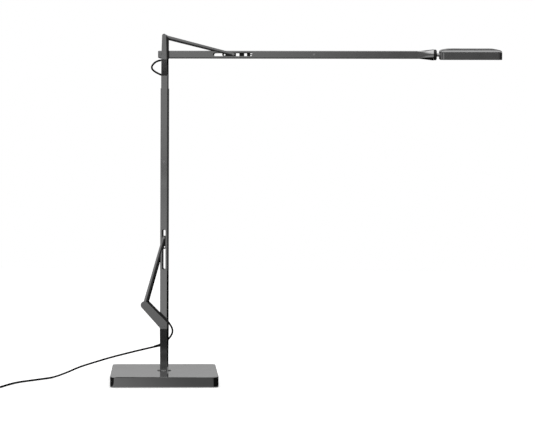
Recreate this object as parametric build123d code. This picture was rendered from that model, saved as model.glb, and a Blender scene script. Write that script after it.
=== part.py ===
from build123d import *
import math
import os

# A balanced desk lamp on a weighted base. Millimetres, +Z up. The table is z = 0 and the swivel axis is
# X = Y = 0. Both arms lie in the XZ plane, the light head points along +X, and the hinge pins run along Y.
# At rest the base stands turned a little under the arms, as the swivel allows.

# Base
BASE_WIDE = 160.0
BASE_DEEP = 190.0
BASE_TALL = 16.0
BASE_TURN = 6.5
BASE_CORNER = 7.5
BASE_EDGE = 0.8
BASE_WALL = 4.0
BASE_ROOF = 4.0
FOOT_STAND = 1.0
FOOT_SINK = 0.6
FOOT_RADIUS = 7.0
FOOT_INSET = 22.0
COVER_THICK = 2.0
BOSS_RADIUS = 5.0
BOSS_INSET = 13.0
HUB_RADIUS = 13.0
HUB_DROP = 4.5
BALLAST_GAP = 0.5

# Swivel under the post
SPINDLE_RADIUS = 4.0
SWIVEL_BUSH_WALL = 1.5
SWIVEL_FLANGE = 8.0
COLLAR_RADIUS = 10.5
COLLAR_THICK = 1.0
NUT_ACROSS = 13.0
NUT_TALL = 2.8
WASHER_THICK = 0.8
WASHER_RADIUS = 8.0

# Clearances
GAP = 0.3
RUNNING = 0.05
SEAT = 0.02
SWIVEL_GAP = 0.1

# Arm tubes, a flat section that stands on its narrow side
ARM_TALL = 11.0
ARM_DEEP = 21.0
ARM_WALL = 1.2
ARM_ROUND = 1.0
PLATE = 1.4
SHOULDER_Z = 84.0
LOWER_REACH = 410.5
UPPER_REACH = 381.0
TUBE_ABOVE_SHOULDER = 4.0
TUBE_BEHIND_ELBOW = 8.3
CAP_LONG = 1.2
SLOT_TALL = 5.2
LOWER_SLOT_FROM = 85.7
LOWER_SLOT_LONG = 61.0
UPPER_SLOT_FROM = 73.8
UPPER_SLOT_LONG = 59.3

# Pins
PIN_RADIUS = 2.0
SLIDER_PIN_RADIUS = 1.6

# Shoulder bracket: a channel that stands on the swivel and leans back at its top
STEM_HALF = 5.4
STEM_HALF_DEEP = 9.6
FLARE_BOTTOM = 38.0
FLARE_TOP = 80.0
BACK_LEAN = 132.3
FRONT_LEAN = 135.0
TIP_BACK = 28.8
TIP_ABOVE = 31.8
TIP_ROUND = 5.8
TIP_WEB_SHORT = 15.0
STEM_FLOOR = 4.0
KNUCKLE_ROUND = 3.7

# Elbow bracket: a fork on the top of the lower arm
NECK_WIDE = 9.3
NECK_LONG = 18.8
FORK_BELOW = 32.2
FORK_FLARE_BELOW = 7.5
FORK_FLOOR_BELOW = 30.0
CRANK = 26.5
FORK_ABOVE_CRANK = 4.4
TRIM_WIDE = 3.5
TRIM_THIN = 0.1
TRIM_REACH = 7.3
FORK_TOP_WIDE = 6.1
FORK_MID_WIDE = 7.3
FORK_MID_ABOVE = 10.5

# Sliders, struts and springs
UPPER_PIN_X = 104.4
LOWER_PIN_REACH = 133.7
LOWER_SPRING_FROM = 26.0
UPPER_SPRING_FROM = 32.0
ANCHOR_PAST = 1.2
LOWER_YOKE_LONG = 28.0
UPPER_YOKE_LONG = 34.0
LOWER_YOKE_BLOCKS = [(11.8, 20.0)]
UPPER_YOKE_BLOCKS = [(8.7, 15.3), (20.2, 24.4)]
RAIL_TALL = 0.9
RAIL_DEEP = 3.0
SLIDER_TALL = 6.2
SLIDER_TAIL = 13.9
SLIDER_NOSE = 2.6
SLIDER_HOLE_RADIUS = 1.9
STRUT_TAIL_TALL = 5.8
STRUT_PIN_TALL = 4.4
STRUT_PLATE = 1.1
STRUT_OPEN = 31.0
ROD_RADIUS = 0.8
SPRING_RADIUS = 3.0
SPRING_WIRE = 0.45
SPRING_TURNS = 22
SPRING_PITCH = 4.0

# Head joint
SOCKET_LONG = 24.0
SOCKET_RADIUS = 8.4
SOCKET_PLUG = 14.0
RING_LONG = 4.4
RING_RADIUS = 8.0
RING_SHANK = 5.6
BALL_RADIUS = 4.6
BALL_BACK = 3.0
STEM_RADIUS = 2.6
STEM_NECK_RADIUS = 1.9
TILT_LIMIT = 25.0

# Light head
HEAD_PAST_SOCKET = 8.7
HEAD_LONG = 91.6
HEAD_DEEP = HEAD_LONG + 1.0
HEAD_BELOW = 6.8
HEAD_LEAN = 3.6
HEAD_WALL_TALL = 11.0
HEAD_CORNER = 6.0
HEAD_WALL = 2.0
CROWN_TALL = 4.4
CROWN_ROLL = 15.0
PARTING = 0.6
DIFFUSER_THICK = 2.0
GUIDE_THICK = 3.0
BOARD_THICK = 1.6
SPREADER_THICK = 1.5
LED_COUNT = 8
LED_SIDE = 3.0
LED_SPACING = 8.6
LED_BOARD_SHORT = 9.0
DIMMER_HALF_LONG = 10.0
DIMMER_HALF_DEEP = 12.0
BUTTON_BACK = 24.0
BUTTON_RADIUS = 6.0
BUTTON_TRAVEL = 0.8
BUTTON_PROUD = 0.2

# Leads, cord and plug-in supply
LEAD_RADIUS = 1.25
CORD_RADIUS = 1.4
CORD_LENGTH = 1800.0
RELIEF_LONG = 11.0
RELIEF_Z = 54.6
RELIEF_DIP = 15.6
COIL_INNER = 11.0
COIL_OUTER = 22.2
COIL_TALL = 11.2
COIL_X = -256.2
COIL_Y = -144.9
TAIL_Z = 9.8
TAIL_LONG = 16.0
ADAPTER_WIDE = 42.0
ADAPTER_LONG = 62.0
ADAPTER_TALL = 28.0
ADAPTER_RELIEF = 12.0
PRONG_RADIUS = 2.4
PRONG_LONG = 19.0
PRONG_SPACING = 19.0

BASE = Rot(0, 0, BASE_TURN)
TAIL_X = COIL_X - COIL_OUTER + CORD_RADIUS
ADAPTER_X = TAIL_X
ADAPTER_Y = COIL_Y + TAIL_LONG + ADAPTER_RELIEF + ADAPTER_LONG / 2
BORE_RADIUS = PIN_RADIUS + RUNNING
ELBOW_Z = SHOULDER_Z + LOWER_REACH
FORK_START = ELBOW_Z - FORK_BELOW
LOWER_TUBE_START = SHOULDER_Z + TUBE_ABOVE_SHOULDER
LOWER_TUBE_END = FORK_START - NECK_LONG
UPPER_TUBE_START = -TUBE_BEHIND_ELBOW
UPPER_TUBE_END = UPPER_REACH
LOWER_SLOT_START = SHOULDER_Z + LOWER_SLOT_FROM
LOWER_SLOT = (LOWER_SLOT_START, LOWER_SLOT_START + LOWER_SLOT_LONG)
UPPER_SLOT = (UPPER_SLOT_FROM, UPPER_SLOT_FROM + UPPER_SLOT_LONG)
NECK_TOP = ELBOW_Z - FORK_FLOOR_BELOW
FORK_FLARED = ELBOW_Z - FORK_FLARE_BELOW
FORK_MID_Z = ELBOW_Z + FORK_MID_ABOVE
FORK_PIVOT_Z = ELBOW_Z + CRANK
FORK_TOP = FORK_PIVOT_Z + FORK_ABOVE_CRANK
LOWER_PIN_Z = SHOULDER_Z + LOWER_PIN_REACH
TIP_X = -TIP_BACK
TIP_Z = SHOULDER_Z + TIP_ABOVE
ARM_HALF = ARM_TALL / 2
ARM_SIDE = ARM_DEEP / 2
STRUT_IN = ARM_SIDE + GAP
STRUT_OUT = STRUT_IN + STRUT_PLATE
FORK_IN = STRUT_OUT + GAP
FORK_OUT = FORK_IN + PLATE
FOOT_Z = BASE_TALL + SWIVEL_GAP + COLLAR_THICK
SOCKET_END = UPPER_TUBE_END + SOCKET_LONG
RING_START = SOCKET_END + GAP
BALL_X = SOCKET_END - BALL_BACK
HEAD_X = SOCKET_END + HEAD_PAST_SOCKET
RING_END = RING_START + RING_LONG
HEAD_MID = HEAD_X + HEAD_LONG / 2
HEAD_FLOOR = ELBOW_Z - HEAD_BELOW
CROWN_START = HEAD_FLOOR + HEAD_WALL_TALL + PARTING
HEAD_TOP = CROWN_START + CROWN_TALL


def block(x0, x1, y0, y1, z0, z1):
    solid = Box(x1 - x0, y1 - y0, z1 - z0)
    return Pos((x0 + x1) / 2, (y0 + y1) / 2, (z0 + z1) / 2) * solid


def rod_y(x, z, radius, y0, y1):
    return Pos(x, (y0 + y1) / 2, z) * Rot(90, 0, 0) * Cylinder(radius, y1 - y0)


def rod_x(x0, x1, radius, z=ELBOW_Z, y=0.0):
    return Pos((x0 + x1) / 2, y, z) * Rot(0, 90, 0) * Cylinder(radius, x1 - x0)


def rod_z(x, y, radius, z0, z1):
    return Pos(x, y, (z0 + z1) / 2) * Cylinder(radius, z1 - z0)


def side_plate(points, half_deep):
    """A closed outline in the XZ plane, as thick as twice half_deep about Y = 0."""
    outline = make_face(Polyline([(x, 0, z) for x, z in points], close=True))
    return extrude(outline, half_deep, dir=(0, 1, 0), both=True)


def depth_profile(points, reach=200.0):
    """A closed outline in the YZ plane, drawn as half widths at heights, and run along X."""
    right = [(0, y, z) for z, y in points]
    left = [(0, -y, z) for z, y in reversed(points)]
    return extrude(make_face(Polyline(right + left, close=True)), reach, dir=(1, 0, 0), both=True)


def rounded_slab(wide, deep, corner, z0, z1):
    return Pos(0, 0, z0) * extrude(RectangleRounded(wide, deep, corner), z1 - z0)


def corner_places(inset):
    half_wide = BASE_WIDE / 2 - inset
    half_deep = BASE_DEEP / 2 - inset
    return [(sx * half_wide, sy * half_deep) for sx in (-1, 1) for sy in (-1, 1)]


def together(shapes):
    return Compound(children=list(shapes))


# ---- Base ----


def base_casting():
    shell = rounded_slab(BASE_WIDE, BASE_DEEP, BASE_CORNER, FOOT_STAND, BASE_TALL)
    shell = fillet(shell.faces().sort_by(Axis.Z)[-1].edges(), BASE_EDGE)
    inner_corner = max(BASE_CORNER - BASE_WALL, 1.0)
    shell -= rounded_slab(
        BASE_WIDE - 2 * BASE_WALL,
        BASE_DEEP - 2 * BASE_WALL,
        inner_corner,
        FOOT_STAND - 1,
        BASE_TALL - BASE_ROOF,
    )
    roof = BASE_TALL - BASE_ROOF
    shell += rod_z(0, 0, HUB_RADIUS, roof - HUB_DROP, roof)
    cover_top = FOOT_STAND + COVER_THICK
    for x, y in corner_places(BOSS_INSET):
        shell += rod_z(x, y, BOSS_RADIUS, cover_top, roof)
        shell -= rod_z(x, y, 1.25, cover_top - 1, roof - 1)
    bush_radius = SPINDLE_RADIUS + SWIVEL_BUSH_WALL
    shell -= rod_z(0, 0, bush_radius + SEAT, roof - HUB_DROP - 1, BASE_TALL + 1)
    return BASE * shell


def base_ballast():
    roof = BASE_TALL - BASE_ROOF
    margin = BASE_WALL + BALLAST_GAP
    floor = FOOT_STAND + COVER_THICK + GAP
    plate = rounded_slab(BASE_WIDE - 2 * margin, BASE_DEEP - 2 * margin, 3.0, floor, roof)
    plate -= rod_z(0, 0, HUB_RADIUS + 1.0, floor - 1, roof + 1)
    for x, y in corner_places(BOSS_INSET):
        plate -= rod_z(x, y, BOSS_RADIUS + BALLAST_GAP, floor - 1, roof + 1)
    return BASE * plate


def pad_places():
    """One pad near each corner, and one in the middle."""
    return corner_places(FOOT_INSET) + [(0.0, 0.0)]


def bottom_cover():
    margin = BASE_WALL + GAP
    top = FOOT_STAND + COVER_THICK
    plate = rounded_slab(BASE_WIDE - 2 * margin, BASE_DEEP - 2 * margin, 3.0, FOOT_STAND, top)
    for x, y in corner_places(BOSS_INSET):
        plate -= rod_z(x, y, 1.7, FOOT_STAND - 1, top + 1)
        plate -= Pos(x, y, FOOT_STAND + 0.6) * Cone(3.2 + SEAT, 1.7, 1.2)
    for x, y in pad_places():
        plate -= rod_z(x, y, FOOT_RADIUS + SEAT, FOOT_STAND - 1, FOOT_STAND + FOOT_SINK)
    return BASE * plate


def cover_screws():
    screws = []
    for x, y in corner_places(BOSS_INSET):
        head = Pos(x, y, FOOT_STAND + 0.6) * Cone(3.1, 1.1, 1.2)
        shank = rod_z(x, y, 1.1, FOOT_STAND + 0.5, FOOT_STAND + COVER_THICK + 6.0)
        cross = Pos(x, y, FOOT_STAND) * (Box(2.6, 0.6, 0.8) + Box(0.6, 2.6, 0.8))
        screws.append(BASE * ((head + shank) - cross))
    return together(screws)


def foot_pads():
    pads = []
    for x, y in pad_places():
        pad = rod_z(x, y, FOOT_RADIUS, 0, FOOT_STAND + FOOT_SINK)
        pads.append(BASE * chamfer(pad.faces().sort_by(Axis.Z)[0].edges(), 0.3))
    return together(pads)


# ---- Swivel ----


def swivel_bush():
    roof = BASE_TALL - BASE_ROOF
    bottom = roof - HUB_DROP
    outer = rod_z(0, 0, SPINDLE_RADIUS + SWIVEL_BUSH_WALL, bottom, BASE_TALL - 0.05)
    return outer - rod_z(0, 0, SPINDLE_RADIUS + RUNNING, bottom - 1, BASE_TALL + 1)


def swivel_collar():
    collar = rod_z(0, 0, COLLAR_RADIUS, BASE_TALL + SWIVEL_GAP, FOOT_Z)
    collar = chamfer(collar.faces().sort_by(Axis.Z)[-1].edges(), COLLAR_THICK * 0.4)
    return collar - rod_z(0, 0, SPINDLE_RADIUS + SEAT, BASE_TALL - 1, FOOT_Z + 1)


def swivel_spindle():
    nut_bottom = hub_bottom() - SWIVEL_GAP - WASHER_THICK - NUT_TALL
    shaft = rod_z(0, 0, SPINDLE_RADIUS, nut_bottom, FOOT_Z + STEM_FLOOR)
    head = rod_z(0, 0, SPINDLE_RADIUS + 2.0, FOOT_Z + STEM_FLOOR, FOOT_Z + STEM_FLOOR + 2.0)
    flats = STEM_HALF - PLATE - GAP
    return shaft + (head & block(-flats, flats, -9, 9, 0, 40))


def hub_bottom():
    return BASE_TALL - BASE_ROOF - HUB_DROP


def swivel_nut():
    top = hub_bottom() - SWIVEL_GAP
    washer = rod_z(0, 0, WASHER_RADIUS, top - WASHER_THICK, top)
    hexagon = extrude(RegularPolygon(NUT_ACROSS / 2, 6, major_radius=False), -NUT_TALL)
    nut = washer + Pos(0, 0, top - WASHER_THICK) * hexagon
    return nut - rod_z(0, 0, SPINDLE_RADIUS + SEAT, 0, BASE_TALL)


# ---- Shoulder bracket ----


def shoulder_outline(inset=0.0):
    """The side of the bracket. inset draws its left and lower edges further in, for the hollow."""
    low = math.radians(BACK_LEAN)
    high = math.radians(FRONT_LEAN)
    reach = TIP_ROUND - inset
    tip_low = (TIP_X - math.sin(low) * reach, TIP_Z + math.cos(low) * reach)
    left = -STEM_HALF + inset
    bend_z = tip_low[1] + (left - tip_low[0]) * math.tan(low)
    tip_high = (TIP_X + math.sin(high) * TIP_ROUND, TIP_Z - math.cos(high) * TIP_ROUND)
    return left, bend_z, tip_low, tip_high


def shoulder_side(inset=0.0, extra=0.0):
    left, bend_z, tip_low, tip_high = shoulder_outline(inset)
    right = STEM_HALF + extra
    bend_right_z = tip_high[1] + (STEM_HALF - tip_high[0]) * math.tan(math.radians(FRONT_LEAN))
    points = [
        (left, FOOT_Z),
        (left, bend_z),
        tip_low,
        (tip_high[0] + extra, tip_high[1] + extra),
        (right, bend_right_z + extra),
        (right, FOOT_Z),
    ]
    plate = side_plate(points, FORK_OUT)
    return plate + rod_y(TIP_X, TIP_Z, TIP_ROUND - inset, -FORK_OUT, FORK_OUT)


def shoulder_depth(wall):
    low = STEM_HALF_DEEP - wall
    high = FORK_OUT - wall
    return depth_profile([(FOOT_Z, low), (FLARE_BOTTOM, low), (FLARE_TOP, high), (TIP_Z + 40, high)])


def shoulder_bracket():
    body = shoulder_side() & shoulder_depth(0.0)
    hollow = shoulder_side(inset=PLATE, extra=4.0) & shoulder_depth(PLATE)
    hollow -= block(-60, 60, -40, 40, 0, FOOT_Z + STEM_FLOOR)
    body -= hollow
    tip_cut = rod_y(TIP_X, TIP_Z, TIP_WEB_SHORT, -FORK_IN, FORK_IN)
    body -= tip_cut
    body -= rod_y(0, SHOULDER_Z, PIN_RADIUS + SEAT, -FORK_OUT - 1, FORK_OUT + 1)
    body -= rod_z(0, 0, SPINDLE_RADIUS + SEAT, 0, FOOT_Z + STEM_FLOOR + 1)
    body -= relief_place() * Cylinder(CORD_RADIUS + 1.0 + SEAT, 8.0)
    return body


def front_strip(points):
    """A flat strip level with the bracket's front plate and a little thinner."""
    front = -FORK_OUT + TRIM_THIN
    outline = make_face(Polyline([(x, front, z) for x, z in points], close=True))
    return extrude(outline, PLATE - 2 * TRIM_THIN, dir=(0, 1, 0))


def shoulder_trim():
    """The black strip along the upper edge of the bracket's front plate."""
    tip = shoulder_outline()[3]
    bend_z = tip[1] + (STEM_HALF - tip[0]) * math.tan(math.radians(FRONT_LEAN))
    edge = STEM_HALF + SEAT
    step = TRIM_WIDE * math.cos(math.radians(FRONT_LEAN - 90))
    points = [
        (edge, FLARE_TOP),
        (edge, bend_z + SEAT),
        (tip[0] + SEAT, tip[1] + SEAT),
        (tip[0] + 2 * step, tip[1]),
        (STEM_HALF + step, bend_z + step),
        (STEM_HALF + step, FLARE_TOP + step),
    ]
    return front_strip(points)


def shoulder_pin():
    return rod_y(0, SHOULDER_Z, PIN_RADIUS, -FORK_OUT, FORK_OUT)


def relief_place():
    """The frame of the strain relief: its origin on the bracket's web, +Z out along the cord."""
    dip = math.radians(RELIEF_DIP)
    return Plane((-STEM_HALF, 0, RELIEF_Z), z_dir=(-math.cos(dip), 0, -math.sin(dip)))


def cord_relief():
    """A rubber sleeve: a collar inside the web, a shank through it, and a taper along the cord."""
    shank = Pos(0, 0, -0.2) * Cylinder(CORD_RADIUS + 1.0, 3.4)
    collar = Pos(0, 0, -PLATE - 1.2) * Cylinder(CORD_RADIUS + 2.0, 1.0)
    taper = Cone(CORD_RADIUS + 0.8, CORD_RADIUS + 0.3, RELIEF_LONG - 1.0)
    relief = shank + collar + Pos(0, 0, 1.0 + (RELIEF_LONG - 1.0) / 2) * taper
    return relief_place() * relief


# ---- Lower arm ----


def arm_section(inset=0.0):
    corner = max(ARM_ROUND - inset, 0.3)
    return RectangleRounded(ARM_TALL - 2 * inset, ARM_DEEP - 2 * inset, corner)


def slot_cut_z(z0, z1):
    half = SLOT_TALL / 2
    cut = block(-half, half, -ARM_SIDE - 1, ARM_SIDE + 1, z0 + half, z1 - half)
    cut += rod_y(0, z0 + half, half, -ARM_SIDE - 1, ARM_SIDE + 1)
    return cut + rod_y(0, z1 - half, half, -ARM_SIDE - 1, ARM_SIDE + 1)


def lower_arm_tube():
    tube = extrude(arm_section() - arm_section(ARM_WALL), LOWER_TUBE_END - LOWER_TUBE_START)
    tube = Pos(0, 0, LOWER_TUBE_START) * tube
    tube -= slot_cut_z(*LOWER_SLOT)
    tube -= rod_y(0, LOWER_ANCHOR_Z, 1.5 + SEAT, -ARM_SIDE - 1, ARM_SIDE + 1)
    return tube - lead_hole(SHOULDER_LEAD[0], SHOULDER_LEAD[1])


def shoulder_knuckle():
    inside = ARM_WALL + SEAT
    plug = extrude(arm_section(inside), 16.0)
    plug = Pos(0, 0, LOWER_TUBE_START) * plug
    tongue = block(
        -KNUCKLE_ROUND, KNUCKLE_ROUND, -STRUT_OUT, STRUT_OUT, SHOULDER_Z, LOWER_TUBE_START
    )
    tongue += rod_y(0, SHOULDER_Z, KNUCKLE_ROUND, -STRUT_OUT, STRUT_OUT)
    knuckle = plug + tongue
    knuckle -= rod_y(0, SHOULDER_Z, BORE_RADIUS, -STRUT_OUT - 1, STRUT_OUT + 1)
    knuckle -= block(-1.9, 20, -3.2, 3.2, SHOULDER_Z + KNUCKLE_ROUND, LOWER_TUBE_START + 20)
    return knuckle


def elbow_side():
    half_neck = NECK_WIDE / 2
    half_mid = FORK_MID_WIDE / 2
    half_top = FORK_TOP_WIDE / 2
    points = [
        (-half_neck, LOWER_TUBE_END),
        (-half_neck, FORK_START),
        (-half_mid, FORK_MID_Z),
        (-half_top, FORK_TOP - half_top),
        (half_top, FORK_TOP - half_top),
        (half_mid, FORK_MID_Z),
        (half_neck, FORK_START),
        (half_neck, LOWER_TUBE_END),
    ]
    plate = side_plate(points, FORK_OUT)
    return plate + rod_y(0, FORK_TOP - half_top, half_top, -FORK_OUT, FORK_OUT)


def elbow_bracket():
    narrow = ARM_SIDE - 0.4
    outer = depth_profile(
        [
            (LOWER_TUBE_END, narrow),
            (FORK_START, narrow),
            (FORK_FLARED, FORK_OUT),
            (FORK_TOP + 20, FORK_OUT),
        ]
    )
    inner = depth_profile(
        [
            (NECK_TOP, narrow - PLATE),
            (FORK_FLARED, FORK_IN),
            (FORK_TOP + 21, FORK_IN),
        ]
    )
    bracket = (elbow_side() & outer) - inner
    plug = extrude(arm_section(ARM_WALL + SEAT), -18.0)
    bracket += Pos(0, 0, LOWER_TUBE_END) * plug
    bracket -= rod_y(0, ELBOW_Z, PIN_RADIUS + SEAT, -FORK_OUT - 1, FORK_OUT + 1)
    bracket -= rod_z(0, 0, LEAD_RADIUS + GAP, LOWER_TUBE_END - 19, ELBOW_LEAD[-1][2] + 1)
    return bracket - lead_hole(ELBOW_LEAD[-1], ELBOW_LEAD[-2])


def elbow_trim():
    """The black strip along the right edge of the fork's front plate."""
    half_mid = FORK_MID_WIDE / 2 + SEAT
    half_top = FORK_TOP_WIDE / 2 + SEAT
    top = FORK_TOP - FORK_TOP_WIDE / 2
    slope = (NECK_WIDE - FORK_MID_WIDE) / 2 / (FORK_MID_Z - FORK_START)
    points = [
        (half_mid + slope * (FORK_MID_Z - FORK_FLARED), FORK_FLARED),
        (half_mid, FORK_MID_Z),
        (half_top, top),
        (TRIM_REACH, top - TRIM_WIDE),
        (TRIM_REACH, FORK_FLARED),
    ]
    return front_strip(points)


def elbow_pin():
    return rod_y(0, ELBOW_Z, PIN_RADIUS, -FORK_OUT, FORK_OUT)


# ---- Upper arm ----


def upper_arm_tube():
    tube = extrude(arm_section() - arm_section(ARM_WALL), UPPER_TUBE_END - UPPER_TUBE_START)
    tube = Pos(UPPER_TUBE_START, 0, ELBOW_Z) * Rot(0, 90, 0) * tube
    tube -= Pos(0, 0, ELBOW_Z) * Rot(0, 90, 0) * slot_cut_z(*UPPER_SLOT)
    tube -= rod_y(UPPER_ANCHOR_X, ELBOW_Z, 1.5 + SEAT, -ARM_SIDE - 1, ARM_SIDE + 1)
    tube -= rod_y(0, ELBOW_Z, BORE_RADIUS + 1.1 + SEAT, -ARM_SIDE - 1, ARM_SIDE + 1)
    return tube - lead_hole(ELBOW_LEAD[0], ELBOW_LEAD[1])


def elbow_bushes():
    bushes = []
    for side in (-1, 1):
        sleeve = rod_y(0, ELBOW_Z, BORE_RADIUS + 1.1, ARM_SIDE - ARM_WALL, ARM_SIDE)
        flange = rod_y(0, ELBOW_Z, BORE_RADIUS + 2.4, ARM_SIDE, STRUT_OUT)
        bush = sleeve + flange - rod_y(0, ELBOW_Z, BORE_RADIUS, 0, FORK_OUT)
        bushes.append(bush if side > 0 else mirror(bush, Plane.XZ))
    return together(bushes)


def upper_arm_cap():
    end = UPPER_TUBE_START - CAP_LONG
    cap = Pos(end, 0, ELBOW_Z) * Rot(0, 90, 0) * extrude(arm_section(), UPPER_TUBE_START - end)
    cap = chamfer(cap.faces().sort_by(Axis.X)[0].edges(), 0.8)
    plug = Pos(UPPER_TUBE_START, 0, ELBOW_Z) * Rot(0, 90, 0)
    return cap + plug * extrude(arm_section(ARM_WALL + SEAT), 4.0)


# ---- Sliders, struts and springs ----


def slider():
    """A slider in its own frame: its pin at the origin along Y, and its nose along +X."""
    half = SLIDER_TALL / 2
    inside = ARM_SIDE - ARM_WALL - GAP
    body = block(-SLIDER_TAIL, SLIDER_NOSE, -inside, inside, -half, half)
    body += rod_y(-SLIDER_TAIL, 0, half, -inside, inside)
    guide = ARM_HALF - ARM_WALL - GAP
    body += block(-6.0, SLIDER_NOSE, -inside, inside, -guide, guide)
    body -= rod_y(0, 0, SLIDER_PIN_RADIUS + SEAT, -inside - 1, inside + 1)
    return body - rod_y(-SLIDER_TAIL, 0, SLIDER_HOLE_RADIUS, -inside - 1, inside + 1)


def slider_pin():
    return rod_y(0, 0, SLIDER_PIN_RADIUS, -STRUT_OUT, STRUT_OUT)


def spring_yoke(blocks, end):
    """The pull frame from the slider's nose to the spring's hook.

    Its two rails run above and below the slot, its blocks guide it, and a rod takes the spring.
    """
    guide = ARM_HALF - ARM_WALL - GAP
    rails_end = blocks[-1][1]
    yoke = rod_x(rails_end, end, ROD_RADIUS, 0)
    half = RAIL_DEEP / 2
    yoke += block(SLIDER_NOSE, rails_end, -half, half, guide - RAIL_TALL, guide)
    yoke += block(SLIDER_NOSE, rails_end, -half, half, -guide, RAIL_TALL - guide)
    for x0, x1 in blocks:
        yoke += block(x0, x1, -6.0, 6.0, -guide, guide)
    return yoke


def pull_spring(start):
    """An extension spring along +X, from the yoke to its anchor."""
    coil = Helix(SPRING_PITCH, SPRING_LONG, SPRING_RADIUS)
    circle = Plane(coil @ 0, z_dir=coil % 0) * Circle(SPRING_WIRE)
    wire = sweep(circle, coil)
    return Pos(start, 0, 0) * Rot(0, 90, 0) * wire


def spring_anchor():
    return rod_y(0, 0, 1.5, -ARM_SIDE, ARM_SIDE)


def strut(length):
    """A strut in its own frame: pivot at the origin, pin at length along +X, web on the +Z side."""
    tail = STRUT_TAIL_TALL / 2
    end = STRUT_PIN_TALL / 2
    outline = [(0, -tail), (length, -end), (length, end), (0, tail)]
    body = side_plate(outline, STRUT_OUT)
    body += rod_y(0, 0, tail, -STRUT_OUT, STRUT_OUT)
    body += rod_y(length, 0, end, -STRUT_OUT, STRUT_OUT)
    hollow = [(-20, -20), (length + 20, -20), (length + 20, 20), (length - STRUT_OPEN, 20)]
    hollow += [(length - STRUT_OPEN, end - 0.6), (0, tail - 1.2), (-20, tail - 1.2)]
    body -= side_plate(hollow, STRUT_IN)
    body -= rod_y(0, 0, PIN_RADIUS + SEAT, -STRUT_OUT - 1, STRUT_OUT + 1)
    return body - rod_y(length, 0, SLIDER_PIN_RADIUS + RUNNING, -STRUT_OUT - 1, STRUT_OUT + 1)


def strut_pivot():
    return rod_y(0, 0, PIN_RADIUS, -STRUT_OUT, STRUT_OUT)


SPRING_LONG = SPRING_PITCH * SPRING_TURNS
LOWER_ANCHOR_Z = LOWER_PIN_Z + LOWER_SPRING_FROM + SPRING_LONG + ANCHOR_PAST
UPPER_ANCHOR_X = UPPER_PIN_X + UPPER_SPRING_FROM + SPRING_LONG + ANCHOR_PAST
UPPER_SLIDER_AT = Pos(UPPER_PIN_X, 0, ELBOW_Z)
LOWER_SLIDER_AT = Pos(0, 0, LOWER_PIN_Z) * Rot(0, -90, 0)
UPPER_STRUT_LONG = math.hypot(UPPER_PIN_X, FORK_PIVOT_Z - ELBOW_Z)
UPPER_STRUT_TURN = math.degrees(math.atan2(FORK_PIVOT_Z - ELBOW_Z, UPPER_PIN_X))
LOWER_STRUT_LONG = math.hypot(TIP_X, LOWER_PIN_Z - TIP_Z)
LOWER_STRUT_TURN = math.degrees(math.atan2(LOWER_PIN_Z - TIP_Z, -TIP_X))
UPPER_STRUT_AT = Pos(0, 0, FORK_PIVOT_Z) * Rot(0, UPPER_STRUT_TURN, 0)
LOWER_STRUT_AT = Pos(TIP_X, 0, TIP_Z) * Rot(0, -LOWER_STRUT_TURN, 0)


# ---- Head joint ----


def head_socket():
    start = Pos(UPPER_TUBE_END, 0, ELBOW_Z) * Rot(0, 90, 0) * arm_section()
    end = Pos(SOCKET_END, 0, ELBOW_Z) * Rot(0, 90, 0) * Circle(SOCKET_RADIUS)
    socket = loft([start, end])
    plug = Pos(UPPER_TUBE_END, 0, ELBOW_Z) * Rot(0, 90, 0)
    socket += plug * extrude(arm_section(ARM_WALL + SEAT), -SOCKET_PLUG)
    socket -= rod_x(SOCKET_END - 12.0, SOCKET_END + 1, RING_SHANK + RUNNING)
    return socket - rod_x(UPPER_TUBE_END - SOCKET_PLUG - 1, SOCKET_END, LEAD_RADIUS + 0.6)


def nose_ring():
    """The black ring that turns in the socket. It holds the ball, and its mouth lets the stem tilt."""
    ring = rod_x(RING_START, RING_END, RING_RADIUS)
    ring = chamfer(ring.faces().sort_by(Axis.X)[-1].edges(), 1.4)
    ring += rod_x(SOCKET_END - 11.7, RING_START, RING_SHANK)
    ring -= Pos(BALL_X, 0, ELBOW_Z) * Sphere(BALL_RADIUS + RUNNING)
    mouth = STEM_RADIUS + GAP
    sweep_angle = math.radians(TILT_LIMIT + 3.0)
    reach = RING_END + 2 - BALL_X
    rise = reach * math.tan(sweep_angle)
    slot = [
        (BALL_X, ELBOW_Z - mouth),
        (BALL_X + reach, ELBOW_Z - mouth - rise),
        (BALL_X + reach, ELBOW_Z + mouth + rise),
        (BALL_X, ELBOW_Z + mouth),
    ]
    ring -= side_plate(slot, mouth)
    return ring - rod_x(SOCKET_END - 13, BALL_X, LEAD_RADIUS + 0.6)


def ball_stem():
    ball = Pos(BALL_X, 0, ELBOW_Z) * Sphere(BALL_RADIUS)
    stem = rod_x(BALL_X, HEAD_X - GAP, STEM_RADIUS)
    flange = block(
        HEAD_X + HEAD_WALL, HEAD_X + HEAD_WALL + 2.0, -8, 8, HEAD_FLOOR + 2.6, CROWN_START - 2.2
    )
    neck = rod_x(HEAD_X - GAP, HEAD_X + HEAD_WALL, STEM_NECK_RADIUS)
    return ball + stem + neck + flange


# ---- Light head ----


def head_slab(inset, z0, z1):
    corner = max(HEAD_CORNER - inset, 1.0)
    slab = rounded_slab(HEAD_LONG - 2 * inset, HEAD_DEEP - 2 * inset, corner, z0, z1)
    return Pos(HEAD_MID, 0, 0) * slab


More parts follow.
